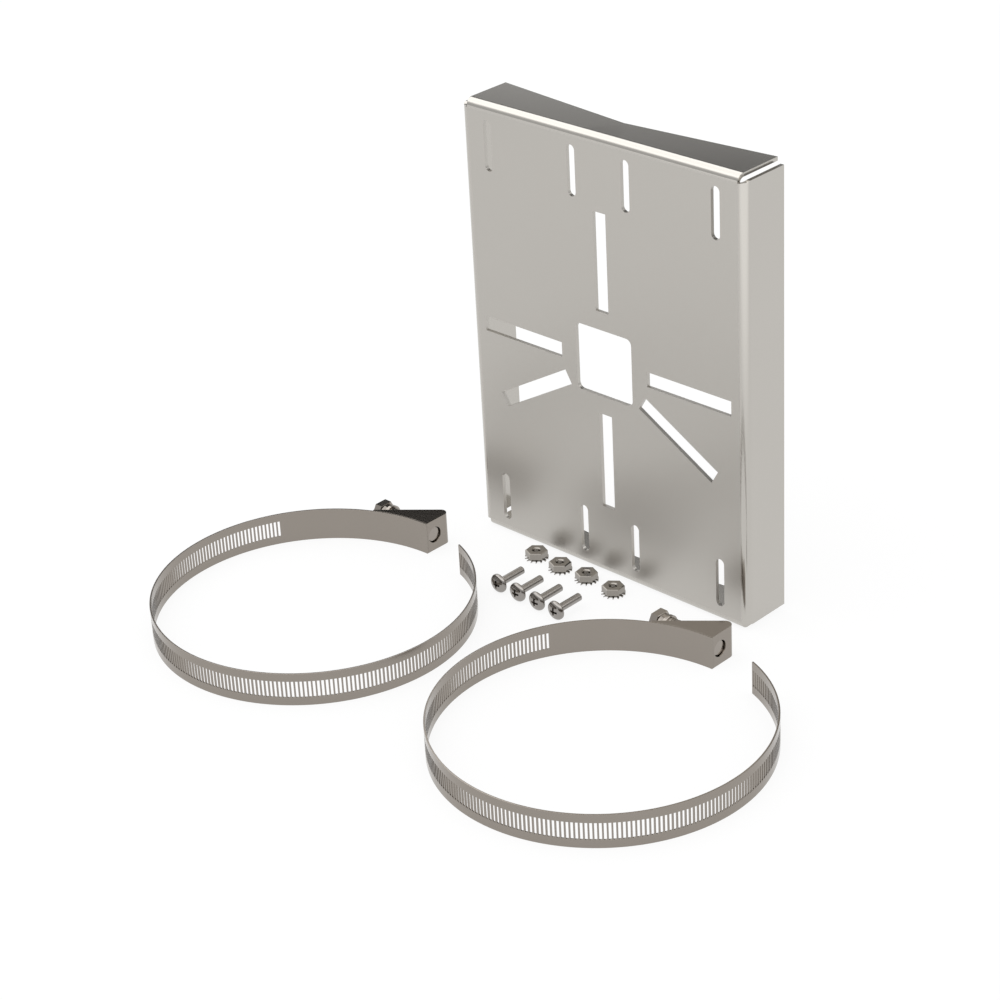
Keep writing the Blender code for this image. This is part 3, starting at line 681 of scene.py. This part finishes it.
for number, (x, y) in enumerate(screwSizes["places"], start=1):
    seat = Matrix.Translation((x * mm, y * mm, screwSizes["headRadius"] * mm))
    mesh = screwMesh(screwSizes)
    mesh.transform(seat @ Matrix.Rotation(-math.pi / 2, 4, "X"))
    smoothMesh(mesh, screwSizes["smooth"])
    addPiece("machineScrew%d" % number, mesh, steels["screw"],
             "machine_screw_%d" % number, "bracket_kit")
print("stage: screws made")


# Lock nuts and star washers

nutSizes = {
    "flats": 9.5, "thickness": 3.2, "bore": 1.7, "threadRoot": 1.82, "pitch": 0.7,
    "boreChamfer": 0.6, "collarWall": 1.0, "collarFoot": 0.2, "seatGap": 0.3,
    "runningGap": 0.3, "bevelHeight": 0.3, "bevelWidth": 0.5, "threadSteps": 8,
    "threadFlat": 0.1, "columns": 60, "nutTurn": 37.5, "washerTurn": 20.8,
    "washerRadius": 5.8, "washerRoot": 4.4, "washerSheet": 0.55, "washerTwist": 0.3,
    "teeth": 14, "tooth": (0.09, 0.16, 0.40, 0.47), "nutSmooth": 25, "washerSmooth": 35,
}


# A hex nut: its collar, its seat, its flats, a bevel along each edge of its face, and a
# chamfered threaded bore back down to the collar's foot
def nutMesh(size, matrix):
    angles = roundAngles(size["columns"])
    even = np.ones_like(angles)
    foot = size["collarFoot"]
    seat = size["washerSheet"] + 2 * size["washerTwist"] + size["seatGap"]
    top = seat + size["thickness"]
    collar = size["bore"] + size["collarWall"]
    hexagon = hexRadius(angles, size["flats"])
    face = hexRadius(angles, size["flats"] - 2 * size["bevelWidth"])
    drop = size["bevelHeight"]
    mouth = size["bore"] + size["boreChamfer"]
    count = int((top - foot) / size["pitch"] * size["threadSteps"])
    barrel = np.linspace(top, foot, count)[:, None]
    depth = threadDepth(barrel, angles, size["pitch"], size["threadFlat"])
    cut = size["bore"] + (size["threadRoot"] - size["bore"]) * depth
    bore = np.maximum(cut, mouth - (top - barrel))
    radii = np.vstack(([collar * even, collar * even, hexagon, hexagon, face], bore))
    outside = np.array([foot, seat, seat, top - drop, top])[:, None]
    heights = np.vstack((outside * even, barrel * even))
    return turnedMesh("nut", radii, heights, matrix, ring=True)


# A star washer: a flat ring whose teeth each start and end on the root circle, low on one
# side and high on the other
def washerMesh(size, matrix):
    teeth = size["teeth"]
    shares = np.array(size["tooth"])
    angles = ((np.arange(teeth)[:, None] + shares) * 2 * np.pi / teeth).ravel()
    rim = np.tile((size["washerRoot"], size["washerRadius"], size["washerRadius"],
                   size["washerRoot"]), teeth)
    lift = np.tile((0, -size["washerTwist"], size["washerTwist"], 0), teeth)
    eye = np.full(len(angles), size["bore"] + size["collarWall"] + size["runningGap"])
    body = np.full(len(angles), size["washerRoot"])
    low = size["washerTwist"]
    high = low + size["washerSheet"]
    rows = ((eye, low + 0 * lift), (body, low + 0 * lift), (rim, low + lift),
            (rim, high + lift), (body, high + 0 * lift), (eye, high + 0 * lift))
    points = np.stack([np.stack((radius * np.cos(angles), radius * np.sin(angles), height), -1)
                       for radius, height in rows])
    quads = gridQuads(len(rows), len(angles), closedRows=True)
    mesh = makeMesh("washer", placed(points.reshape(-1, 3) * mm, matrix), [quads])
    cleaned = bmesh.new()
    cleaned.from_mesh(mesh)
    bmesh.ops.remove_doubles(cleaned, verts=cleaned.verts, dist=mergeDistance * mm)
    bmesh.ops.recalc_face_normals(cleaned, faces=cleaned.faces)
    cleaned.to_mesh(mesh)
    cleaned.free()
    return mesh


nutTurn = Matrix.Rotation(math.radians(nutSizes["nutTurn"]), 4, "Z")
washerTurn = Matrix.Rotation(math.radians(nutSizes["washerTurn"]), 4, "Z")
for number in (1, 2, 3, 4):
    place = Matrix.Translation(jointPlaces["star_washer_%d_turn" % number])
    nut = nutMesh(nutSizes, place @ nutTurn)
    smoothMesh(nut, nutSizes["nutSmooth"])
    addPiece("lockNut%d" % number, nut, steels["nut"],
             "lock_nut_%d" % number, "bracket_kit")
    washer = washerMesh(nutSizes, place @ washerTurn)
    smoothMesh(washer, nutSizes["washerSmooth"])
    addPiece("starWasher%d" % number, washer, steels["washer"],
             "star_washer_%d" % number, "star_washer_%d_ring" % number)
print("stage: nuts and washers made")


# Studio

studio = {
    "floorSize": 12.0, "floorMatte": 0.9, "floorShade": 0.14, "floorWhite": 1.02,
    "floorInMetal": (1.03, 1.45), "floorRamp": (230, 480), "floorSide": -45.0,
    "sky": ((0.00, 0.72), (0.10, 0.62), (0.34, 0.70), (0.45, 0.88), (0.52, 1.40), (0.60, 2.2),
            (0.80, 2.0), (1.00, 1.3)),
    "darkSky": ((0.00, 0.80), (0.18, 0.76), (0.30, 0.72), (0.332, 0.56), (0.362, 0.15),
                (0.40, 0.03), (0.49, 0.03), (0.53, 0.54), (0.575, 2.2), (0.80, 2.0), (1.00, 1.3)),
    "darkSide": 102.0, "darkWidth": (0.52, 0.66),
    "panelPlace": (98.0, 46.0), "panelWidth": (0.885, 0.93), "panelLevel": 0.08,
    "lampSize": 1.4, "lampPower": 5.0, "lampPlace": (-0.7, -0.5, 1.5),
}


# A level direction, by its angle round from X in degrees
def levelAim(degrees):
    return (math.cos(math.radians(degrees)), math.sin(math.radians(degrees)), 0)


# The floor gives its white to the camera and to reflections, and its matte share takes the
# shadows. In metal it grows brighter with the distance to its front right
def makeFloor(look):
    half = look["floorSize"] / 2
    corners = np.array([(-half, -half, 0), (half, -half, 0), (half, half, 0), (-half, half, 0)])
    mesh = makeMesh("floor", corners, [np.array([[0, 1, 2, 3]])])
    material = bpy.data.materials.new("floorWhite")
    material.use_nodes = True
    tree = material.node_tree
    tree.nodes.clear()
    rays = tree.nodes.new("ShaderNodeLightPath")
    place = tree.nodes.new("ShaderNodeTexCoord").outputs["Object"]
    distance = reckonedVector(tree, "DOT_PRODUCT", place, levelAim(look["floorSide"]))
    ramp = [length * mm for length in look["floorRamp"]]
    inMetal = spread(tree, distance, ramp, look["floorInMetal"])
    level = blended(tree, rays.outputs["Is Camera Ray"], inMetal, look["floorWhite"])
    white = tree.nodes.new("ShaderNodeEmission")
    tree.links.new(level, white.inputs["Strength"])
    matte = tree.nodes.new("ShaderNodeBsdfDiffuse")
    shade = look["floorMatte"]
    matte.inputs["Color"].default_value = (shade, shade, shade, 1.0)
    seen = reckoned(tree, "MAXIMUM", rays.outputs["Is Camera Ray"], rays.outputs["Is Glossy Ray"])
    mix = tree.nodes.new("ShaderNodeMixShader")
    feed(tree, mix, {"Fac": reckoned(tree, "MULTIPLY", seen, 1 - look["floorShade"]),
                     1: matte.outputs["BSDF"], 2: white.outputs["Emission"]})
    output = tree.nodes.new("ShaderNodeOutputMaterial")
    tree.links.new(mix.outputs["Shader"], output.inputs["Surface"])
    mesh.materials.append(material)
    looseObject("floor", mesh)


# The sky is white to the camera. Metal sees it as a studio: grey near the horizon and
# bright above, but on the side behind the plate dark at mid height, with a round dark
# panel higher up
def makeSky(look):
    world = bpy.data.worlds.new("studio")
    bpy.context.scene.world = world
    world.use_nodes = True
    tree = world.node_tree
    tree.nodes.clear()
    aim = tree.nodes.new("ShaderNodeTexCoord").outputs["Generated"]
    axes = tree.nodes.new("ShaderNodeSeparateXYZ")
    tree.links.new(aim, axes.inputs["Vector"])

    # The level of a sky by the height of the direction: a curve of shares of its brightest
    def skyLevel(levels):
        top = max(level for height, level in levels)
        curve = tree.nodes.new("ShaderNodeFloatCurve")
        points = curve.mapping.curves[0].points
        for height, level in levels[1:-1]:
            points.new(height, level / top)
        points[0].location = (levels[0][0], levels[0][1] / top)
        points[-1].location = (levels[-1][0], levels[-1][1] / top)
        for point in points:
            point.handle_type = "VECTOR"
        curve.mapping.update()
        tree.links.new(axes.outputs["Z"], curve.inputs["Value"])
        return reckoned(tree, "MULTIPLY", curve.outputs["Value"], top)

    # One where the first direction lies close to the second, and zero away from it
    def closeTo(direction, centre, width):
        closeness = reckonedVector(tree, "DOT_PRODUCT", direction, centre)
        return spread(tree, closeness, width, (0, 1), "SMOOTHSTEP")

    heading = reckonedVector(tree, "NORMALIZE", reckonedVector(tree, "MULTIPLY", aim, (1, 1, 0)))
    inSector = closeTo(heading, levelAim(look["darkSide"]), look["darkWidth"])
    wholeSky = blended(tree, inSector, skyLevel(look["sky"]), skyLevel(look["darkSky"]))
    around, rise = look["panelPlace"]
    panelAim = Matrix.Rotation(math.radians(-rise), 3, "Y") @ Vector((1, 0, 0))
    panelAim.rotate(Matrix.Rotation(math.radians(around), 3, "Z"))
    onPanel = closeTo(aim, panelAim, look["panelWidth"])
    seenByMetal = tree.nodes.new("ShaderNodeBackground")
    feed(tree, seenByMetal, {"Color": (1, 1, 1, 1),
                             "Strength": blended(tree, onPanel, wholeSky, look["panelLevel"])})
    plain = tree.nodes.new("ShaderNodeBackground")
    feed(tree, plain, {"Color": (1, 1, 1, 1), "Strength": 1.0})
    rays = tree.nodes.new("ShaderNodeLightPath")
    mix = tree.nodes.new("ShaderNodeMixShader")
    feed(tree, mix, {"Fac": rays.outputs["Is Glossy Ray"], 1: plain.outputs["Background"],
                     2: seenByMetal.outputs["Background"]})
    output = tree.nodes.new("ShaderNodeOutputWorld")
    tree.links.new(mix.outputs["Shader"], output.inputs["Surface"])


# A soft lamp that the metal doesn't mirror, because its sky is its own
def makeLamp(look):
    lamp = bpy.data.lights.new("softLamp", "AREA")
    lamp.size = look["lampSize"]
    lamp.energy = look["lampPower"]
    obj = looseObject("softLamp", lamp)
    obj.location = look["lampPlace"]
    aim = -obj.location
    obj.rotation_euler = aim.to_track_quat("-Z", "Y").to_euler()
    obj.visible_glossy = False


# The photograph's camera, solved from the plate and the rings
cameraSizes = {
    "place": (735.81, -817.29, 632.03), "yaw": 0.774643, "pitch": -0.474669, "roll": 0.050724,
    "focal": 95.455, "sensor": 36.0, "shift": (-0.02463, -0.05441), "clip": (0.05, 50),
}


def makeCamera(look):
    data = bpy.data.cameras.new("camera")
    data.sensor_width = look["sensor"]
    data.lens = look["focal"]
    data.shift_x, data.shift_y = look["shift"]
    data.clip_start, data.clip_end = look["clip"]
    camera = looseObject("camera", data)
    turn = Matrix.Rotation(look["yaw"], 4, "Z") @ Matrix.Rotation(look["pitch"], 4, "X")
    turn = turn @ Matrix.Rotation(look["roll"], 4, "Y") @ Matrix.Rotation(math.pi / 2, 4, "X")
    place = Matrix.Translation([value * mm for value in look["place"]])
    camera.matrix_world = place @ turn
    bpy.context.scene.camera = camera


makeFloor(studio)
makeSky(studio)
makeLamp(studio)
makeCamera(cameraSizes)
bpy.context.scene.view_settings.view_transform = "Standard"
print("stage: studio made")
